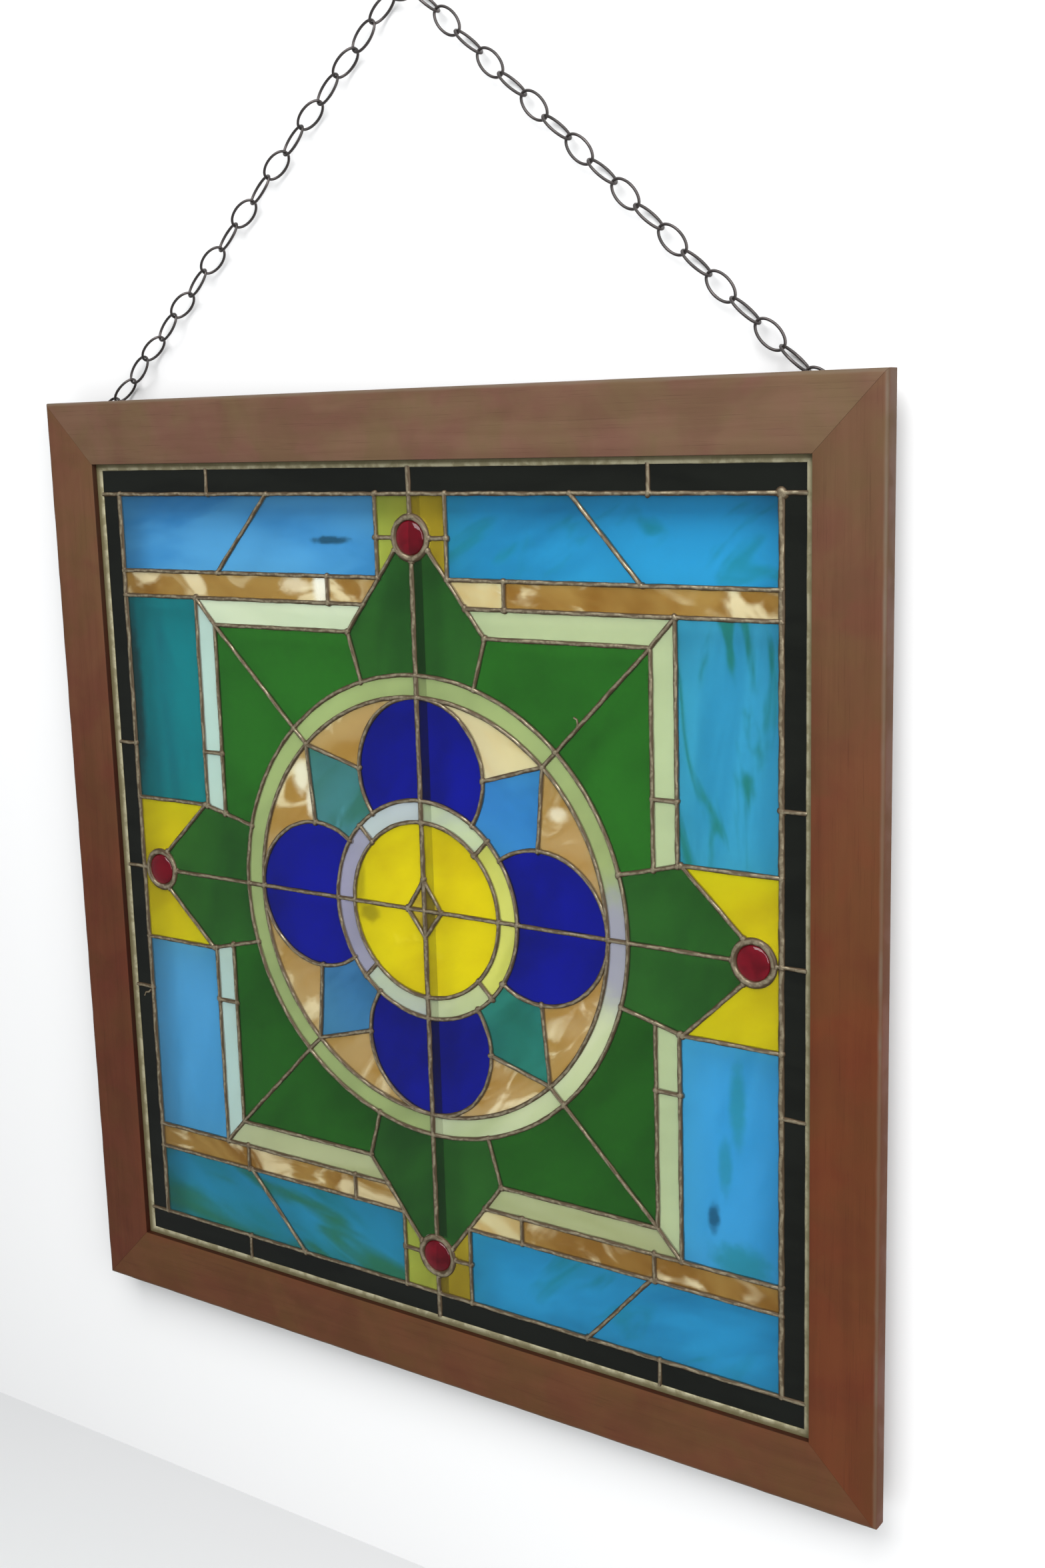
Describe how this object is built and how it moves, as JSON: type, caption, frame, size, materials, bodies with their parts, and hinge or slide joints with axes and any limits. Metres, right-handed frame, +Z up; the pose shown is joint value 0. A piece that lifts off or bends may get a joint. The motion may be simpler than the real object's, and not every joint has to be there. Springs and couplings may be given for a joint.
{
  "type": "stained glass window panel",
  "caption": "Leaded glass panel with a quatrefoil rosette, rings, star points and domed jewels in a mitred wooden frame, hung on a V of oval-link chain.",
  "frame": {"origin": "hanging point: the inside top of the chain's top link, where a nail or hook carries the window", "axes": "+Z up, +X to the right seen from the front, the front of the glass faces -Y"},
  "size_m": [1.08, 0.0441, 1.525],
  "materials": {
    "wood": "reddish brown, satin",
    "solder": "dull grey brown patina on solder, bright on the crests",
    "bar_steel": "dull dark steel",
    "chain_steel": "dark grey bronze",
    "black_glass": "smooth opalescent sheet glass",
    "blue_glass": "smooth opalescent sheet glass",
    "teal_glass": "smooth opalescent sheet glass",
    "amber_glass": "smooth opalescent sheet glass",
    "pale_glass": "smooth opalescent sheet glass",
    "green_glass": "smooth opalescent sheet glass",
    "yellow_glass": "smooth opalescent sheet glass",
    "ring_glass": "smooth opalescent sheet glass",
    "hub_glass": "smooth opalescent sheet glass",
    "cobalt_glass": "smooth opalescent sheet glass",
    "mixed_glass": "smooth opalescent sheet glass",
    "ruby_glass": "smooth opalescent sheet glass"
  },
  "bodies": {
    "root": {"amber_strip_lower_left": "amber_glass", "amber_strip_lower_right": "amber_glass", "amber_strip_upper_left": "amber_glass", "amber_strip_upper_right": "amber_glass", "blue_panel_lower_left": "blue_glass", "blue_panel_lower_right": "blue_glass", "blue_panel_upper_left": "teal_glass", "blue_panel_upper_right": "blue_glass", "blue_strip_lower_left": "blue_glass", "blue_strip_lower_right": "blue_glass", "blue_strip_upper_left": "blue_glass", "blue_strip_upper_right": "blue_glass", "border_bottom": "black_glass", "border_left": "black_glass", "border_right": "black_glass", "border_top": "black_glass", "centre_disc": "yellow_glass", "chain_left": "chain_steel", "chain_right": "chain_steel", "frame_bottom": "wood", "frame_left": "wood", "frame_right": "wood", "frame_top": "wood", "green_field_lower_left": "green_glass", "green_field_lower_right": "green_glass", "green_field_upper_left": "green_glass", "green_field_upper_right": "green_glass", "inner_ring": "hub_glass", "jewel_bottom": "ruby_glass", "jewel_left": "ruby_glass", "jewel_right": "ruby_glass", "jewel_top": "ruby_glass", "outer_ring": "ring_glass", "pale_corner_lower_left": "pale_glass", "pale_corner_lower_right": "pale_glass", "pale_corner_upper_left": "pale_glass", "pale_corner_upper_right": "pale_glass", "petal_bottom": "cobalt_glass", "petal_left": "cobalt_glass", "petal_right": "cobalt_glass", "petal_top": "cobalt_glass", "reinforcing_bar": "bar_steel", "screw_eye_left": "chain_steel", "screw_eye_right": "chain_steel", "solder_lines": "solder", "spandrel_lower_left": "mixed_glass", "spandrel_lower_right": "mixed_glass", "spandrel_upper_left": "mixed_glass", "spandrel_upper_right": "mixed_glass", "star_bottom": "green_glass", "star_left": "green_glass", "star_right": "green_glass", "star_top": "green_glass", "top_link": "chain_steel", "yellow_bottom": "yellow_glass", "yellow_side_lower_left": "yellow_glass", "yellow_side_lower_right": "yellow_glass", "yellow_side_upper_left": "yellow_glass", "yellow_side_upper_right": "yellow_glass", "yellow_top": "yellow_glass"}
  },
  "joints": []
}
